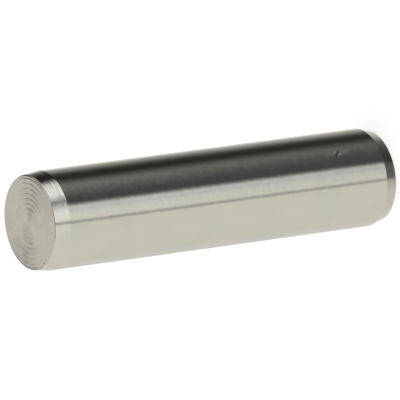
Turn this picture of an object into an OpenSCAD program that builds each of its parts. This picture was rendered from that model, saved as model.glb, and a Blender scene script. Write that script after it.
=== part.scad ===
// Parallel dowel pin: a ground cylinder with a long, shallow lead taper at one end and a
// short chamfer at the other, each with a broken edge round its flat end face.
// It stands on its chamfered end, with +Z along its axis and the lead end at the top.
// Every length is in millimetres and every angle in degrees.

/* [Shank] */
// Ground diameter of the shank, which is the size of the hole that it locates
pin_d = 6; // [3:0.5:20]
// Overall length, from end face to end face
pin_len = 24.4; // [12:0.1:100]

/* [Lead end] */
// Length of the lead taper, which starts the pin into its hole
lead_len = 1.05; // [0.5:0.05:2.5]
// Angle between the lead taper and the axis
lead_angle = 8; // [4:0.5:12]
// Radius of the broken edge between the lead taper and its end face
lead_edge_r = 0.1; // [0.05:0.01:0.2]

/* [Back end] */
// Length of the chamfer on the end that is struck or pressed, and that the pin stands on
back_len = 0.8; // [0.4:0.05:2]
// Angle between that chamfer and the axis
back_angle = 14; // [10:1:25]
// Radius of the broken edge between that chamfer and its end face
back_edge_r = 0.1; // [0.05:0.01:0.2]

/* [Hidden] */
$fn = 96;
// Steps that make up the round of one broken edge
edge_steps = 8;
ground_steel = [0.76, 0.75, 0.70];

pin_r = pin_d / 2;
lead_start = pin_len - lead_len;

function reversed(points) = [for (i = [len(points) - 1 : -1 : 0]) points[i]];

// Radius of the circle that carries the middle of a broken edge's round. The round is edge_r
// away from the end face, and edge_r away from the cone that narrows from the shank's rim.
function edge_centre_r(end_len, angle, edge_r) =
    pin_r - (edge_r + (end_len - edge_r) * sin(angle)) / cos(angle);

// The round of a broken edge, from the cone to the face, as [radius, depth below the face].
function broken_edge(end_len, angle, edge_r) = [
    for (i = [0 : edge_steps])
        let (turn = angle + (90 - angle) * i / edge_steps)
        [edge_centre_r(end_len, angle, edge_r) + edge_r * cos(turn), edge_r - edge_r * sin(turn)]
];

// Half section, from the middle of the back face, out and up the side, to the middle of the
// lead face.
half_section = concat(
    [[0, 0]],
    reversed(broken_edge(back_len, back_angle, back_edge_r)),
    [[pin_r, back_len], [pin_r, lead_start]],
    [for (p = broken_edge(lead_len, lead_angle, lead_edge_r)) [p.x, pin_len - p.y]],
    [[0, pin_len]]
);

module dowel_pin() {
    color(ground_steel)
    rotate_extrude() polygon(half_section);
}

dowel_pin();
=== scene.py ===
# %% [markdown]
# # A ground dowel pin
# A dowel pin is a short hardened rod that holds two parts in line. Its side is ground to a few thousandths
# of a millimetre, one end has a shallow taper that leads it into the hole, and the other has a short chamfer.
# Almost nothing is there to model, so what makes it look real is small: the rings that the lathe tool left on
# the flat end, the fine lines round the tapers, a nick or two, and the way that polished steel mirrors the
# room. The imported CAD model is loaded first. It is the frame: the pin's place, width and length come from it,
# and the sizes of its two ends, further down, repeat what it has.

# %% Load the frame
import math

import bpy
import bmesh
from mathutils import Matrix, Vector


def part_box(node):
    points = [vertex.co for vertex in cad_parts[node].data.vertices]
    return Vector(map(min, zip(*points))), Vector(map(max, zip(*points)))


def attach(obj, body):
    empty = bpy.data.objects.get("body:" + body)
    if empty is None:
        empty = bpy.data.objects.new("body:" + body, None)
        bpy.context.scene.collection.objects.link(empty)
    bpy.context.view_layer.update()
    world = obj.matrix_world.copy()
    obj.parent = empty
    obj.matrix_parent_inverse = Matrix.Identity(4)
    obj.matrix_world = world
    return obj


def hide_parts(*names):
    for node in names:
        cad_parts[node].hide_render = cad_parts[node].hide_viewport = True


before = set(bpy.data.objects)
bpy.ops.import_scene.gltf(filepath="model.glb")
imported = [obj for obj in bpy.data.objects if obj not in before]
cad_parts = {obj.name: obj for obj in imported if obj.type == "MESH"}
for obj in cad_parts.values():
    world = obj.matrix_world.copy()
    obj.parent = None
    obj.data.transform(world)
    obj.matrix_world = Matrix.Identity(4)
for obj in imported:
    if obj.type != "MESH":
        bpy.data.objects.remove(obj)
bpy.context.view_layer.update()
pin_low, pin_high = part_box("dowel_pin")
mm = 0.001
pin_length = pin_high.z - pin_low.z
shank_radius = (pin_high.x - pin_low.x) / 2
print(f"pin: {shank_radius * 2 / mm:.2f} mm across, {pin_length / mm:.2f} mm long")

# %% [markdown]
# ## Camera
# A small part is photographed from far away with a long lens, so that both its ends look the same width. The
# pin stands on its chamfered end, and the camera looks down on it and is turned on its side, which lays the
# pin across the picture. A camera aimed with Track To can't be turned like that, so its three axes are worked
# out instead: where it looks, which way is up, and a turn about the line of sight.

# %% Camera
camera_height_angle = math.radians(32.05)
camera_turn = math.radians(-97.76)
camera_distance = 600 * mm
camera_aim = Vector((-0.04 * mm, 0, pin_low.z + 12.33 * mm))
looks_along = Vector((0, math.cos(camera_height_angle), -math.sin(camera_height_angle)))
level_right = Vector((1, 0, 0))
level_up = level_right.cross(looks_along)
camera_right = level_right * math.cos(camera_turn) + level_up * math.sin(camera_turn)
camera_up = camera_right.cross(looks_along)
camera_data = bpy.data.cameras.new("long_lens")
camera_data.sensor_width = 36
camera_data.lens = 900
camera_data.clip_start = 0.05
camera_data.clip_end = 20
camera = bpy.data.objects.new("camera", camera_data)
bpy.context.scene.collection.objects.link(camera)
camera.matrix_world = Matrix.Translation(camera_aim - looks_along * camera_distance) @ Matrix(
    (camera_right, camera_up, -looks_along)
).transposed().to_4x4()
bpy.context.scene.camera = camera
print(f"camera {camera_distance:.3f} m away, {math.degrees(camera_height_angle):.1f} degrees above level")

# %% [markdown]
# ## Node helpers
# Shaders, the room and the pin's own shape are all made of nodes below. A few helpers keep that short: one
# adds a node and links or fills its sockets in order, two do the same for a Math node and return its answer,
# one makes a soft step, which every card, ring and nick below is built from, and one lays a colour over
# another.

# %% Node helpers
def add(tree, kind, *values, **choices):
    """Adds a node, makes its choices, then links or fills its inputs in order. None leaves an input alone."""
    node = tree.nodes.new(kind)
    for name, choice in choices.items():
        setattr(node, name, choice)
    usable = [socket for socket in node.inputs if socket.enabled]
    for socket, value in zip(usable, values):
        if isinstance(value, bpy.types.NodeSocket):
            tree.links.new(value, socket)
        elif value is not None:
            socket.default_value = value
    return node


def calc(tree, operation, *values):
    """The answer of a Math node."""
    return add(tree, "ShaderNodeMath", *values, operation=operation).outputs[0]


def vector(tree, operation, *values):
    """The answer of a Vector Math node, which is a number for a length or a distance."""
    node = add(tree, "ShaderNodeVectorMath", *values, operation=operation)
    return node.outputs["Value" if operation in ("LENGTH", "DISTANCE") else "Vector"]


def fade(tree, value, start, end, at_start=1.0, at_end=0.0):
    """A soft step from one level to another as a value goes from start to end."""
    node = add(
        tree, "ShaderNodeMapRange", value, start, end, at_start, at_end, interpolation_type="SMOOTHSTEP"
    )
    return node.outputs[0]


def mix(tree, share, below, above):
    """One colour laid over another."""
    node = add(tree, "ShaderNodeMix", share, data_type="RGBA")
    for side, paint in (("A", below), ("B", above)):
        socket = [s for s in node.inputs if s.name == side and s.enabled][0]
        if isinstance(paint, bpy.types.NodeSocket):
            tree.links.new(paint, socket)
        else:
            socket.default_value = paint
    return [s for s in node.outputs if s.enabled][0]


print("five node helpers")

# %% [markdown]
# ## Floor
# The pin stands on a wide pale floor. It has to look white to the camera without flooding the pin with light,
# so most of its white is a glow that only the camera sees, and the rest is plain pale paint that takes the
# shadow. Steel mirrors whatever lies in front of it, and the room below gives it that, so the floor is hidden
# from mirrors.

# %% Floor
floor_half = 3.0
floor_drop = 0.01 * mm
floor_shade = 0.3
floor_glow = 0.78
floor_corners = [(x * floor_half, y * floor_half, 0) for x, y in ((-1, -1), (1, -1), (1, 1), (-1, 1))]
floor_mesh = bpy.data.meshes.new("floor")
floor_mesh.from_pydata(floor_corners, [], [(0, 1, 2, 3)])
floor = bpy.data.objects.new("floor", floor_mesh)
bpy.context.scene.collection.objects.link(floor)
floor.location.z = pin_low.z - floor_drop
floor_paint = bpy.data.materials.new("floor_paint")
floor_paint.use_nodes = True
nodes = floor_paint.node_tree
nodes.nodes.clear()
sees = add(nodes, "ShaderNodeLightPath").outputs
looked_at = calc(nodes, "MAXIMUM", sees["Is Camera Ray"], sees["Is Glossy Ray"])
looked_at = calc(nodes, "MAXIMUM", looked_at, sees["Is Transmission Ray"])
paint = add(nodes, "ShaderNodeBsdfDiffuse", (floor_shade, floor_shade, floor_shade, 1))
glow = add(nodes, "ShaderNodeEmission", (1, 1, 1, 1), calc(nodes, "MULTIPLY", looked_at, floor_glow))
both = add(nodes, "ShaderNodeAddShader", paint.outputs[0], glow.outputs[0])
add(nodes, "ShaderNodeOutputMaterial", both.outputs[0])
floor_mesh.materials.append(floor_paint)
floor.visible_glossy = False
print(f"floor {floor_half * 2:.0f} m wide")

# %% [markdown]
# ## The room that the steel mirrors
# Bright metal has hardly any colour of its own: its side shows a dark band, a light band and a fine dark line
# because the room has a dark side, a lamp and an edge. A photographer sets these with white and black cards.
# Real cards would need stands and would show in other views, so here each card is drawn straight into the
# world, and only mirrors see it. A card hangs in one direction as seen from the pin: turned round it, tilted
# up or down, and rolled. It has a width, a height and a soft edge, and all of these are angles. Each card
# hangs in front of the ones before it.

# %% One card
card = bpy.data.node_groups.new("held_card", "ShaderNodeTree")
card_inputs = ("Turn", "Tilt", "Roll", "Width", "Height", "Soft edge")
for name in card_inputs:
    card.interface.new_socket(name, in_out="INPUT", socket_type="NodeSocketFloat")
card.interface.new_socket("Cover", in_out="OUTPUT", socket_type="NodeSocketFloat")
held = add(card, "NodeGroupInput").outputs
looks = add(card, "ShaderNodeTexCoord").outputs["Generated"]
for name, axis, way in (("Turn", "Z_AXIS", -1), ("Tilt", "Y_AXIS", 1), ("Roll", "X_AXIS", -1)):
    angle = calc(card, "MULTIPLY", calc(card, "RADIANS", held[name]), way)
    looks = add(card, "ShaderNodeVectorRotate", looks, (0, 0, 0), angle, rotation_type=axis).outputs[0]
ahead = add(card, "ShaderNodeSeparateXYZ", looks).outputs
across = calc(card, "DEGREES", calc(card, "ARCTAN2", ahead["Y"], ahead["X"]))
upward = calc(card, "DEGREES", calc(card, "ARCSINE", ahead["Z"]))
half_soft = calc(card, "MULTIPLY", held["Soft edge"], 0.5)
covers = []
for reach, size in ((across, "Width"), (upward, "Height")):
    half_size = calc(card, "MULTIPLY", held[size], 0.5)
    inner = calc(card, "SUBTRACT", half_size, half_soft)
    outer = calc(card, "ADD", half_size, half_soft)
    covers.append(fade(card, calc(card, "ABSOLUTE", reach), inner, outer))
add(card, "NodeGroupOutput", calc(card, "MULTIPLY", *covers))
print(f"one card is {len(card.nodes)} nodes")

# %% An empty room, and how a card is hung in it
wall_colour = (0.88, 0.87, 0.84, 1)
room = bpy.data.worlds.new("studio")
bpy.context.scene.world = room
room.use_nodes = True
room.cycles.sampling_method = "NONE"
nodes = room.node_tree
nodes.nodes.clear()


def hang(behind, colour, turn, tilt, width, height, soft, roll=0):
    """Hangs one card in front of what is behind it. Every place and size is in degrees, seen from the pin."""
    hung = add(nodes, "ShaderNodeGroup", node_tree=card)
    for name, value in zip(card_inputs, (turn, tilt, roll, width, height, soft)):
        hung.inputs[name].default_value = value
    return mix(nodes, hung.outputs["Cover"], behind, colour + (1,))


print(f"walls of colour {wall_colour[:3]}")

# %% Hang the cards
# The lamp in front of the pin: the light band along its side.
lamp_white = (1.32, 1.38, 1.4)
seen = hang(wall_colour, lamp_white, turn=-80, tilt=-15, width=80, height=36, soft=8, roll=-14)
# A white sheet to the left: the broad pale stretch below that band.
seen = hang(seen, (1.05, 1.05, 0.95), turn=-150, tilt=-18, width=120, height=36, soft=50)
# The unlit side of the room: the dark stretch above the band, and the dark round of both cones.
seen = hang(seen, (0.15, 0.15, 0.14), turn=9, tilt=-45, width=90, height=25, soft=30, roll=48)
seen = hang(seen, (0.06, 0.06, 0.06), turn=-40, tilt=-50, width=50, height=110, soft=45)
seen = hang(seen, (0.03, 0.03, 0.025), turn=13, tilt=23, width=94, height=125, soft=32, roll=23)
# A small lamp on the dark side, and its bright rim: the white patch on the lead taper.
seen = hang(seen, lamp_white, turn=-23, tilt=-15, width=45, height=20, soft=20, roll=10)
seen = hang(seen, lamp_white, turn=-57, tilt=-27, width=26, height=8, soft=8, roll=30)
# Stray light on the bench below it: the faint grey streak in the dark stretch.
seen = hang(seen, (0.09, 0.09, 0.1), turn=-30, tilt=-40, width=60, height=20, soft=15, roll=-15)
# The bench's near edge: the dark part of the foot chamfer.
seen = hang(seen, (0.15, 0.15, 0.15), turn=-84, tilt=-73, width=26, height=30, soft=6, roll=-10)
# The gap between the lamp and the sheet: the fine dark line.
seen = hang(seen, (0.57, 0.57, 0.57), turn=-101, tilt=-5, width=6, height=90, soft=4, roll=-3)
# A pale ceiling, then a dark shelf, a window and a black board behind the pin: what the flat end mirrors.
seen = hang(seen, (0.87, 0.85, 0.81), turn=0, tilt=90, width=150, height=150, soft=20)
seen = hang(seen, (0.22, 0.22, 0.2), turn=95, tilt=2, width=90, height=34, soft=16)
seen = hang(seen, (0.9, 0.87, 0.82), turn=98, tilt=24, width=34, height=82, soft=16, roll=-42)
seen = hang(seen, (0.06, 0.06, 0.055), turn=56, tilt=38, width=35, height=39, soft=6, roll=24)
# The back of the bench: the two outer edges of the side.
seen = hang(seen, (0.75, 0.75, 0.7), turn=110, tilt=-31, width=18, height=6, soft=5)
seen = hang(seen, (1.1, 1.1, 1.05), turn=90, tilt=-39, width=34, height=9, soft=6)
# The camera's own dark stand: the thin line on the rounded edge of the top.
seen = hang(seen, (0.1, 0.1, 0.1), turn=-92, tilt=32, width=80, height=32, soft=14)
print(f"room with {sum(1 for node in nodes.nodes if node.type == 'GROUP')} cards")

# %% What each kind of ray sees
room_light = 0.7
sees = add(nodes, "ShaderNodeLightPath").outputs
mirrored = add(nodes, "ShaderNodeBackground", seen, 1.0)
plain_white = add(nodes, "ShaderNodeBackground", (1, 1, 1, 1), 1.0)
soft_light = add(nodes, "ShaderNodeBackground", (1, 1, 1, 1), room_light)
looked_at = calc(nodes, "MAXIMUM", sees["Is Camera Ray"], sees["Is Transmission Ray"])
unlit = add(nodes, "ShaderNodeMixShader", looked_at, soft_light.outputs[0], plain_white.outputs[0])
shown = add(nodes, "ShaderNodeMixShader", sees["Is Glossy Ray"], unlit.outputs[0], mirrored.outputs[0])
add(nodes, "ShaderNodeOutputWorld", shown.outputs[0])
print(f"white to the camera, the cards to mirrors, and a soft light of {room_light} to the rest")

# %% [markdown]
# ## Lamp
# One wide lamp overhead adds direction to the even light of the room, so that the pin's foot has a faint
# shadow. The cards already show steel a lamp, so this one is hidden from mirrors.

# %% Lamp
lamp_width = 0.5
lamp_watts = 1.6
lamp_place = Vector((-0.15, 0.1, 0.6))
lamp_data = bpy.data.lights.new("overhead", "AREA")
lamp_data.shape = "DISK"
lamp_data.size = lamp_width
lamp_data.energy = lamp_watts
lamp = bpy.data.objects.new("overhead", lamp_data)
bpy.context.scene.collection.objects.link(lamp)
lamp.location = lamp_place
lamp.rotation_euler = (-lamp_place).to_track_quat("-Z", "Y").to_euler()
lamp.visible_glossy = False
print(f"lamp {lamp_width:.1f} m wide, {lamp_place.length:.2f} m away")

# %% [markdown]
# ## Steel
# The pin is one steel, a faintly warm grey, with three finishes. Every cut on it was made while the pin spun,
# so all its fine lines run round the axis. Lines much finer than the eye can part don't show as lines: they
# spread what the steel mirrors across themselves. That is anisotropy, and it needs the direction round the
# axis as its tangent. Lines just wide enough to see are a noise squeezed together along the outline. Wider
# waves make straight reflections waver, and the steel is not quite the same tint everywhere. Each finish is
# the same small recipe with its own roughness, spread, lines and waves.

# %% Steel
warm_steel = (0.577, 0.555, 0.501, 1)
cool_steel = (0.542, 0.543, 0.493, 1)
line_length = 0.8 * mm
line_squeeze = 16.0
cloud_size = 2.5 * mm
cloud_low, cloud_high = 0.35, 0.65
usual_low, usual_high = 0.3, 0.7
dullest, shiniest = 1.15, 0.85
quarter_turn = 0.25


def noise(tree, where, scale, detail):
    """A soft random pattern, between 0 and 1."""
    node = add(tree, "ShaderNodeTexNoise", where, noise_dimensions="3D")
    node.inputs["Scale"].default_value = scale
    node.inputs["Detail"].default_value = detail
    return node.outputs[0]


def steel(name, roughness, spread, line_height, wave_step, wave_height):
    """A metal whose fine lines run round the pin's axis. Heights and steps are in millimetres."""
    finish = bpy.data.materials.new(name)
    finish.use_nodes = True
    tree = finish.node_tree
    tree.nodes.clear()
    place = add(tree, "ShaderNodeTexCoord").outputs["Object"]
    at = add(tree, "ShaderNodeSeparateXYZ", place).outputs
    from_axis = vector(tree, "LENGTH", vector(tree, "MULTIPLY", place, (1, 1, 0)))
    along_outline = calc(tree, "MULTIPLY", calc(tree, "ADD", from_axis, at["Z"]), line_squeeze)
    round_lines = add(tree, "ShaderNodeCombineXYZ", at["X"], at["Y"], along_outline)
    lines = noise(tree, round_lines.outputs[0], 1 / line_length, 4)
    waves = noise(tree, place, 1 / (wave_step * mm), 3)
    line_relief = calc(tree, "MULTIPLY", lines, line_height)
    wave_relief = calc(tree, "MULTIPLY", waves, wave_height)
    bump = add(tree, "ShaderNodeBump")
    bump.inputs["Distance"].default_value = mm
    tree.links.new(calc(tree, "ADD", line_relief, wave_relief), bump.inputs["Height"])
    clouds = fade(tree, noise(tree, place, 1 / cloud_size, 5), cloud_low, cloud_high, 0.0, 1.0)
    dullness = fade(tree, waves, usual_low, usual_high, roughness * shiniest, roughness * dullest)
    round_axis = add(tree, "ShaderNodeTangent", direction_type="RADIAL", axis="Z")
    shader = add(tree, "ShaderNodeBsdfPrincipled")
    shader.inputs["Metallic"].default_value = 1
    shader.inputs["Anisotropic"].default_value = spread
    shader.inputs["Anisotropic Rotation"].default_value = quarter_turn
    tree.links.new(mix(tree, clouds, warm_steel, cool_steel), shader.inputs["Base Color"])
    tree.links.new(dullness, shader.inputs["Roughness"])
    tree.links.new(bump.outputs[0], shader.inputs["Normal"])
    tree.links.new(round_axis.outputs[0], shader.inputs["Tangent"])
    add(tree, "ShaderNodeOutputMaterial", shader.outputs[0])
    print(f"{name}: roughness {roughness}, spread {spread}")
    return finish


ground_finish = steel("ground_finish", 0.1, 0.5, 0.0003, 0.4, 0.0038)
turned_finish = steel("turned_finish", 0.13, 0.5, 0.0006, 0.4, 0.004)
faced_finish = steel("faced_finish", 0.31, 0.825, 0.0002, 0.6, 0.001)

# %% [markdown]
# ## The pin's shape
# A lathe makes a pin by turning one outline, and so does this node tree. The outline runs from the middle of
# the foot, out and up the side, to the middle of the top. Geometry Nodes round off its two outer edges, cut
# it into short steps, and turn it once about the axis. The flat top needs short steps because rings are cut
# into it, and a straight side needs few, except for two narrow bands that carry a knock and a scratch. The
# tree's main sizes are named inputs, so they can be seen and changed in one place.

# %% Named sizes
tree = bpy.data.node_groups.new("turned_pin", "GeometryNodeTree")
tree.interface.new_socket("Geometry", in_out="OUTPUT", socket_type="NodeSocketGeometry")
steps_around = 224
sizes = {
    "Shank radius": shank_radius,
    "Length": pin_length,
    "Lead length": 1.05 * mm,
    "Lead angle": math.radians(8),
    "Lead edge radius": 0.1 * mm,
    "Back length": 0.8 * mm,
    "Back angle": math.radians(14),
    "Back edge radius": 0.1 * mm,
    "Lower band": 3.78 * mm,
    "Upper band": 10.53 * mm,
    "Half band": 0.3 * mm,
    "Top step": 0.014 * mm,
    "Foot step": 0.05 * mm,
    "Cone step": 0.028 * mm,
    "Band step": 0.025 * mm,
    "Shank step": 0.5 * mm,
    "Crowded side": math.radians(-57),
    "Crowding": 0.5,
    "Ring pitch": 0.303 * mm,
    "First ring": 0.553 * mm,
    "Steep side of ring": 0.036 * mm,
    "Gentle side of ring": 0.2 * mm,
    "Ring depth": 0.009 * mm,
    "Pip radius": 0.14 * mm,
    "Pip height": 0.012 * mm,
    "Mark length": 2.5 * mm,
    "Mark pitch": 0.15 * mm,
    "Mark height": 0.02 * mm,
}
sockets = {}


def new_input(name, kind):
    """Gives the tree one more named input."""
    sockets[name] = tree.interface.new_socket(name, in_out="INPUT", socket_type=kind)


for name, value in sizes.items():
    new_input(name, "NodeSocketFloat")
    sockets[name].default_value = value
new_input("Steps around", "NodeSocketInt")
for name in ("Shank finish", "Cone finish", "Face finish"):
    new_input(name, "NodeSocketMaterial")
given = add(tree, "NodeGroupInput").outputs
print(f"{len(sizes)} named sizes")

# %% The outline's corners
def end_radius(length, angle):
    """Radius of a flat end, before its edge is rounded off."""
    drop = calc(tree, "MULTIPLY", given[length], calc(tree, "TANGENT", given[angle]))
    return calc(tree, "SUBTRACT", given["Shank radius"], drop)


def by_corner(*values):
    """Picks one value for each corner of the outline."""
    node = tree.nodes.new("GeometryNodeIndexSwitch")
    node.data_type = "FLOAT"
    for _ in values[2:]:
        node.index_switch_items.new()
    tree.links.new(add(tree, "GeometryNodeInputIndex").outputs[0], node.inputs["Index"])
    for i, value in enumerate(values):
        if isinstance(value, bpy.types.NodeSocket):
            tree.links.new(value, node.inputs[str(i)])
        else:
            node.inputs[str(i)].default_value = value
    return node.outputs[0]


lead_start = calc(tree, "SUBTRACT", given["Length"], given["Lead length"])
band_ends = [
    calc(tree, way, given[band], given["Half band"])
    for band in ("Lower band", "Upper band")
    for way in ("SUBTRACT", "ADD")
]
side, shank_step, band_step = given["Shank radius"], given["Shank step"], given["Band step"]
corners = [
    # radius, height, rounding, step to the next corner
    (0.0, 0.0, 0.0, given["Foot step"]),
    (end_radius("Back length", "Back angle"), 0.0, given["Back edge radius"], given["Cone step"]),
    (side, given["Back length"], 0.0, shank_step),
    (side, band_ends[0], 0.0, band_step),
    (side, band_ends[1], 0.0, shank_step),
    (side, band_ends[2], 0.0, band_step),
    (side, band_ends[3], 0.0, shank_step),
    (side, lead_start, 0.0, given["Cone step"]),
    (end_radius("Lead length", "Lead angle"), given["Length"], given["Lead edge radius"], given["Top step"]),
    (0.0, given["Length"], 0.0, 1.0),
]
radius, height, rounding, step = (by_corner(*column) for column in zip(*corners))
chain = add(tree, "GeometryNodeMeshLine", len(corners))
at_corners = add(tree, "ShaderNodeCombineXYZ", radius, 0.0, height)
chain = add(tree, "GeometryNodeSetPosition", chain.outputs[0], None, at_corners.outputs[0])
keep = add(tree, "GeometryNodeCaptureAttribute", chain.outputs[0])
keep.capture_items.new("FLOAT", "Step")
tree.links.new(step, keep.inputs["Step"])
outline = add(tree, "GeometryNodeMeshToCurve", keep.outputs[0])
print(f"outline of {len(corners)} corners")

# %% Round the edges and cut the outline into steps
points_in_rounding = 10
outline = add(
    tree, "GeometryNodeFilletCurve", outline.outputs[0], points_in_rounding, rounding, mode="POLY"
)
here = add(tree, "GeometryNodeInputPosition").outputs[0]
next_point = calc(tree, "ADD", add(tree, "GeometryNodeInputIndex").outputs[0], 1)
after = add(tree, "GeometryNodeFieldAtIndex", here, next_point, domain="POINT", data_type="FLOAT_VECTOR")
piece_length = vector(tree, "DISTANCE", here, after.outputs[0])
cuts = calc(tree, "FLOOR", calc(tree, "DIVIDE", piece_length, keep.outputs["Step"]))
outline = add(tree, "GeometryNodeSubdivideCurve", outline.outputs[0], cuts)
print(f"each edge rounded with {points_in_rounding} points")

# %% [markdown]
# ## Turning it
# A flat grid becomes the pin's skin: each of its rows is one point of the outline, and each column one
# direction round the axis. The columns stand closer together on one side, where the knock and the scratch
# are, so that a nick a tenth of a millimetre wide still has enough points to be a real hollow. The two middles
# and the seam are then merged.

# %% Turn the outline once about the axis
outline_count = add(tree, "GeometryNodeAttributeDomainSize", outline.outputs[0], component="CURVE")
row_count = outline_count.outputs["Point Count"]
columns = calc(tree, "ADD", given["Steps around"], 1)
sheet = add(tree, "GeometryNodeMeshGrid", 1.0, 1.0, columns, row_count)
on_sheet = add(tree, "ShaderNodeSeparateXYZ", here).outputs
even_turn = calc(tree, "MULTIPLY", calc(tree, "ADD", on_sheet["X"], 0.5), math.tau)
pull = calc(tree, "SINE", calc(tree, "SUBTRACT", even_turn, given["Crowded side"]))
turned = calc(tree, "SUBTRACT", even_turn, calc(tree, "MULTIPLY", pull, given["Crowding"]))
last_row = calc(tree, "SUBTRACT", row_count, 1)
row = calc(tree, "ROUND", calc(tree, "MULTIPLY", calc(tree, "ADD", on_sheet["Y"], 0.5), last_row))
from_outline = add(
    tree,
    "GeometryNodeSampleIndex",
    outline.outputs[0],
    here,
    row,
    data_type="FLOAT_VECTOR",
    domain="POINT",
)
swung = add(
    tree, "ShaderNodeVectorRotate", from_outline.outputs[0], (0, 0, 0), turned, rotation_type="Z_AXIS"
)
body = add(tree, "GeometryNodeSetPosition", sheet.outputs[0], None, swung.outputs[0])
touching = 0.00002 * mm
body = add(tree, "GeometryNodeMergeByDistance", body.outputs[0], None, touching)
print(f"turned in {steps_around} steps")

# %% Remember how high each face was before anything is cut
body = add(tree, "GeometryNodeCaptureAttribute", body.outputs[0], domain="FACE")
body.capture_items.new("FLOAT", "Level")
level = add(tree, "ShaderNodeSeparateXYZ", here).outputs["Z"]
tree.links.new(level, body.inputs["Level"])
face_level = body.outputs["Level"]
print(f"{len(tree.nodes)} nodes so far")

# %% [markdown]
# ## Tool marks
# A facing tool is fed outwards while the pin spins, and leaves one shallow ring for each turn, steep on its
# inner side and gentle on its outer side. The cut is never quite even: some stretches of a ring are deeper,
# the middle is shallower and the last ring is deeper. The tool can't quite cut the middle, so a small pip is
# left there. The rings on the foot are softer and the same on both sides. The same kind of tool leaves finer,
# uneven marks round the cones, because the pin chatters a little. Rings, pip, marks and nicks are all one
# number for each point, how deep it is cut, and one node moves the points inwards by it.

# %% Rings on the flat ends
hair = 0.0001 * mm
ring_patch = 1.2 * mm
from_axis = vector(tree, "LENGTH", vector(tree, "MULTIPLY", here, (1, 1, 0)))
half_pitch = calc(tree, "MULTIPLY", given["Ring pitch"], 0.5)
from_ring = calc(tree, "SUBTRACT", from_axis, given["First ring"])
from_ring = calc(tree, "WRAP", from_ring, half_pitch, calc(tree, "MULTIPLY", half_pitch, -1))
on_top = calc(tree, "GREATER_THAN", level, calc(tree, "SUBTRACT", given["Length"], hair))
on_foot = calc(tree, "LESS_THAN", level, hair)
steep_start = calc(tree, "MULTIPLY", given["Steep side of ring"], -1)
going_down = fade(tree, from_ring, steep_start, 0.0, 0.0, 1.0)
coming_up = fade(tree, from_ring, 0.0, given["Gentle side of ring"])
top_ring = calc(tree, "MULTIPLY", calc(tree, "MULTIPLY", going_down, coming_up), on_top)
foot_ring = fade(tree, calc(tree, "ABSOLUTE", from_ring), 0.0, half_pitch)
foot_ring = calc(tree, "MULTIPLY", foot_ring, on_foot)
uneven = add(tree, "ShaderNodeTexNoise", here, noise_dimensions="3D")
uneven.inputs["Scale"].default_value = 1 / ring_patch
ring_depth = given["Ring depth"]
for where, start, end, at_start, at_end in (
    # by what, from, to, then the share of the depth at each: patches, the middle, the last ring
    (uneven.outputs[0], usual_low, usual_high, 0.6, 1.3),
    (from_axis, 0.4 * mm, 0.8 * mm, 0.35, 1.0),
    (from_axis, 2.4 * mm, 2.6 * mm, 1.0, 2.2),
):
    share = fade(tree, where, start, end, at_start, at_end)
    ring_depth = calc(tree, "MULTIPLY", ring_depth, share)
ring = calc(tree, "MULTIPLY", calc(tree, "ADD", top_ring, foot_ring), ring_depth)
print(f"rings {sizes['Ring depth'] / mm:.3f} mm deep, {sizes['Ring pitch'] / mm:.3f} mm apart")

# %% Pip in the middle of the top
flat_share = 0.3
pip_edge = calc(tree, "MULTIPLY", given["Pip radius"], flat_share)
pip = calc(tree, "MULTIPLY", fade(tree, from_axis, pip_edge, given["Pip radius"]), given["Pip height"])
pip = calc(tree, "MULTIPLY", pip, on_top)
print(f"pip {sizes['Pip height'] / mm:.3f} mm high")

# %% Feed marks round the cones
foot_mark_share = 0.2
shank_margin = (0.01 * mm, 0.06 * mm)
end_margin = (0.09 * mm, 0.14 * mm)
above_shank = calc(tree, "SUBTRACT", level, lead_start)
below_shank = calc(tree, "SUBTRACT", given["Back length"], level)
past_shank = calc(tree, "MAXIMUM", above_shank, below_shank)
to_end = calc(tree, "MINIMUM", calc(tree, "SUBTRACT", given["Length"], level), level)
clear_of_shank = fade(tree, past_shank, *shank_margin, 0.0, 1.0)
clear_of_end = fade(tree, to_end, *end_margin, 0.0, 1.0)
mark_size = add(
    tree, "ShaderNodeCombineXYZ", given["Mark length"], given["Mark length"], given["Mark pitch"]
)
chatter = noise(tree, vector(tree, "DIVIDE", here, mark_size.outputs[0]), 1, 2)
marks = calc(tree, "MULTIPLY", calc(tree, "SUBTRACT", chatter, 0.5), given["Mark height"])
marks = calc(tree, "MULTIPLY", marks, calc(tree, "MULTIPLY", clear_of_shank, clear_of_end))
end_share = fade(tree, level, given["Back length"], lead_start, foot_mark_share, 1.0)
marks = calc(tree, "MULTIPLY", marks, end_share)
print(f"marks {sizes['Mark pitch'] / mm:.2f} mm apart, {foot_mark_share} times as high on the foot chamfer")

# %% [markdown]
# ## Nicks
# Pins are tipped into bins and knock against each other, so even a new one has a few small hollows. A nick is
# an egg-shaped dip at one place: so far round the pin, so far out from the axis and so far up, with one half
# height above that place and another below it. A scratch is the same dip drawn out long, and a pit in the
# flat end is the same again, seen from above. A dip whose depth is below zero stands up instead: a knock
# pushes metal up beside it, and such a raised lip catches a different light from the hollow next to it.

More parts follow.
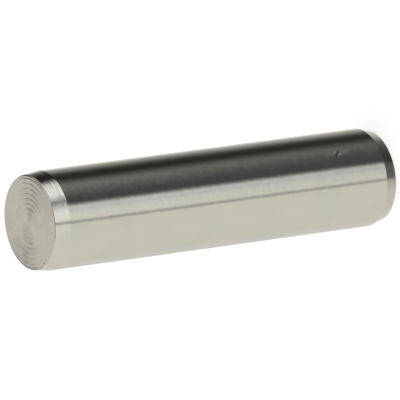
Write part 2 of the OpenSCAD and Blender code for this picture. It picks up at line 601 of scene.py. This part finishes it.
# %% One nick
nick = bpy.data.node_groups.new("nick", "GeometryNodeTree")
nick_inputs = ("Turn", "Out", "Up", "Half out", "Half round", "Half up", "Half down", "Depth")
for name in nick_inputs:
    nick.interface.new_socket(name, in_out="INPUT", socket_type="NodeSocketFloat")
nick.interface.new_socket("Cut", in_out="OUTPUT", socket_type="NodeSocketFloat")
dip = add(nick, "NodeGroupInput").outputs
unturned = add(
    nick,
    "ShaderNodeVectorRotate",
    add(nick, "GeometryNodeInputPosition").outputs[0],
    (0, 0, 0),
    calc(nick, "MULTIPLY", dip["Turn"], -1),
    rotation_type="Z_AXIS",
)
middle = add(nick, "ShaderNodeCombineXYZ", dip["Out"], 0.0, dip["Up"])
offset = vector(nick, "SUBTRACT", unturned.outputs[0], middle.outputs[0])
above = calc(nick, "GREATER_THAN", add(nick, "ShaderNodeSeparateXYZ", offset).outputs["Z"], 0.0)
longer = calc(nick, "MULTIPLY", above, calc(nick, "SUBTRACT", dip["Half up"], dip["Half down"]))
upright = calc(nick, "ADD", dip["Half down"], longer)
half_size = add(nick, "ShaderNodeCombineXYZ", dip["Half out"], dip["Half round"], upright)
reach = vector(nick, "LENGTH", vector(nick, "DIVIDE", offset, half_size.outputs[0]))
add(nick, "NodeGroupOutput", fade(nick, reach, 0.0, 1.0, dip["Depth"], 0.0))
print(f"one nick is {len(nick.nodes)} nodes")

# %% Every nick on the pin
side_mm, top_mm = shank_radius / mm, pin_length / mm
nicks = [
    # what it is, degrees round the pin, then millimetres: out, up, half sizes out, round, up and down, depth
    ("knock", -58.1, side_mm, 3.77, 0.5, 0.09, 0.05, 0.06, 0.008),
    ("scratch", -59.0, side_mm, 10.53, 0.5, 0.4, 0.05, 0.05, 0.002),
    ("rim_dent", -156.3, 2.7, top_mm, 0.13, 0.12, 0.2, 0.2, 0.07),
    ("pit", 41.0, 1.34, top_mm, 0.09, 0.09, 0.5, 0.5, 0.05),
    ("outer_pit", 86.5, 2.14, top_mm, 0.08, 0.08, 0.5, 0.5, 0.03),
]
# The knock's stroke slants up the side: four raised lips, each with a hollow just below it.
for turn, up in ((-54.6, 3.68), (-56.3, 3.77), (-57.9, 3.86), (-59.5, 3.95)):
    nicks.append(("lip", turn, side_mm, up, 0.5, 0.12, 0.5, 0.07, -0.006))
    nicks.append(("hollow", turn, side_mm, up - 0.06, 0.5, 0.12, 0.07, 0.5, 0.006))
all_nicks = 0.0
for what, turn, *lengths in nicks:
    one = add(tree, "GeometryNodeGroup", node_tree=nick, label=what)
    one.inputs["Turn"].default_value = math.radians(turn)
    for name, length in zip(nick_inputs[1:], lengths):
        one.inputs[name].default_value = length * mm
    all_nicks = calc(tree, "ADD", all_nicks, one.outputs["Cut"])
print(f"{len(nicks)} nicks")

# %% Cut all the marks at once
edge_reach = 0.001 * mm
cut = calc(tree, "ADD", calc(tree, "SUBTRACT", ring, pip), calc(tree, "ADD", marks, all_nicks))
outwards = add(tree, "GeometryNodeInputNormal").outputs[0]
moved = vector(tree, "SCALE", outwards, calc(tree, "MULTIPLY", cut, -1))
near_back = calc(tree, "COMPARE", level, given["Back length"], edge_reach)
near_lead = calc(tree, "COMPARE", level, lead_start, edge_reach)
crease = calc(tree, "MAXIMUM", near_back, near_lead)
body = add(tree, "GeometryNodeSetShadeSmooth", body.outputs[0], None, True, domain="FACE")
body = add(tree, "GeometryNodeSetShadeSmooth", body.outputs[0], crease, False, domain="EDGE")
body = add(tree, "GeometryNodeSetPosition", body.outputs[0], None, None, moved)
print(f"{len(tree.nodes)} nodes so far")

# %% [markdown]
# ## Which finish goes where
# The side is ground, both cones are turned and both flat ends are faced, so a face's finish follows from how
# high it was before anything was cut. The cone's finish is laid over everything first, and the other two over
# that.

# %% Finishes, and the end of the tree
above_back = calc(tree, "GREATER_THAN", face_level, given["Back length"])
below_lead = calc(tree, "LESS_THAN", face_level, lead_start)
on_shank = calc(tree, "MULTIPLY", above_back, below_lead)
faces_on_top = calc(tree, "GREATER_THAN", face_level, calc(tree, "SUBTRACT", given["Length"], hair))
faces_on_foot = calc(tree, "LESS_THAN", face_level, hair)
on_flat = calc(tree, "MAXIMUM", faces_on_top, faces_on_foot)
body = add(tree, "GeometryNodeRealizeInstances", body.outputs[0])
body = add(tree, "GeometryNodeSetMaterial", body.outputs[0], None, given["Cone finish"])
body = add(tree, "GeometryNodeSetMaterial", body.outputs[0], on_shank, given["Shank finish"])
body = add(tree, "GeometryNodeSetMaterial", body.outputs[0], on_flat, given["Face finish"])
add(tree, "NodeGroupOutput", body.outputs[0])
print(f"a tree of {len(tree.nodes)} nodes")

# %% [markdown]
# ## From the tree to a plain mesh
# The tree is only a recipe. It is run once on an empty object and its result is kept as a plain mesh, which
# has nothing left to work out and which any program can read. The mesh comes with an empty first material
# slot, so the slots are set again without it, and each face's number drops by one.

# %% Run the tree and keep a plain mesh
blank = bpy.data.objects.new("pin_blank", bpy.data.meshes.new("pin_blank"))
bpy.context.scene.collection.objects.link(blank)
lathe = blank.modifiers.new("lathe", "NODES")
lathe.node_group = tree
for name, value in sizes.items():
    lathe[sockets[name].identifier] = value
lathe[sockets["Steps around"].identifier] = steps_around
finishes = {"Cone finish": turned_finish, "Shank finish": ground_finish, "Face finish": faced_finish}
for name, finish in finishes.items():
    lathe[sockets[name].identifier] = finish
pin_mesh = bpy.data.meshes.new_from_object(blank.evaluated_get(bpy.context.evaluated_depsgraph_get()))
bpy.data.objects.remove(blank)
print(f"slots from the tree: {[slot.name if slot else None for slot in pin_mesh.materials]}")
finish_of_face = [face.material_index - 1 for face in pin_mesh.polygons]
pin_mesh.materials.clear()
for finish in finishes.values():
    pin_mesh.materials.append(finish)
pin_mesh.polygons.foreach_set("material_index", finish_of_face)
pin = bpy.data.objects.new("pin", pin_mesh)
bpy.context.scene.collection.objects.link(pin)

# %% Measure it
shape = bmesh.new()
shape.from_mesh(pin_mesh)
open_edges = sum(1 for edge in shape.edges if len(edge.link_faces) != 2)
triangles = sum(len(face.verts) - 2 for face in shape.faces)
volume = shape.calc_volume(signed=True)
shape.free()
print(f"{len(pin_mesh.vertices)} points, {triangles} triangles, {open_edges} open edges")
print(f"volume {volume / mm**3:.2f} cubic mm, finishes {[finish.name for finish in pin_mesh.materials]}")

# %% [markdown]
# ## Handing over
# The pin is a single body that stands still, so its mesh rides on the root and takes the place of the CAD
# solid. Colours are shown plainly, with no film look laid over them.

# %% Hand over
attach(pin, "root")
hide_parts("dowel_pin")
bpy.context.scene.view_settings.view_transform = "Standard"
